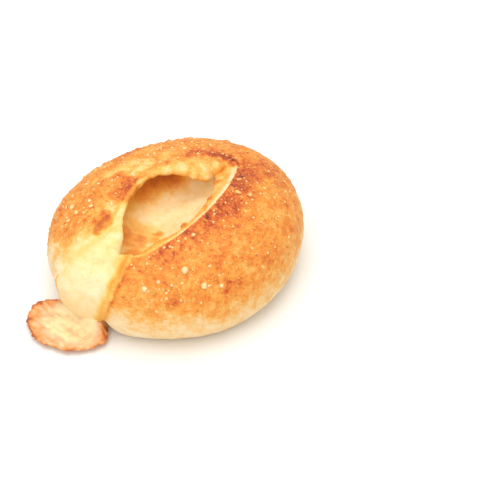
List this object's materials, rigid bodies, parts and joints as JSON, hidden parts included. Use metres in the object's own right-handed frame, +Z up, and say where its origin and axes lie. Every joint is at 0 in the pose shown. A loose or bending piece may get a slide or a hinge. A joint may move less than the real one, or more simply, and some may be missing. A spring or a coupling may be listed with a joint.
{
  "type": "cheese roll",
  "caption": "Round baked bread roll, open along the top over a hollow lined with melted cheese that ran out at one end and set as a thin skirt.",
  "frame": {"origin": "centre of the footprint's bounding box, on the surface that the roll stands on", "axes": "+Z up, out of the roll's mouth; +X along the slash, from the cheese skirt to the closed end; +Y towards the far lip"},
  "size_m": [0.1222, 0.0948, 0.0411],
  "materials": {
    "baked_crust": "golden-orange baked wheat crust, satin on the dome, pale and floury low on the sides, with browned cheese crumbs",
    "melted_cheese": "melted and set mild cheese, pale yellow and softly glossy, toasted orange-brown in spots and along thin edges"
  },
  "bodies": {
    "root": {"bread_roll": "baked_crust", "melted_cheese": "melted_cheese"}
  },
  "joints": []
}
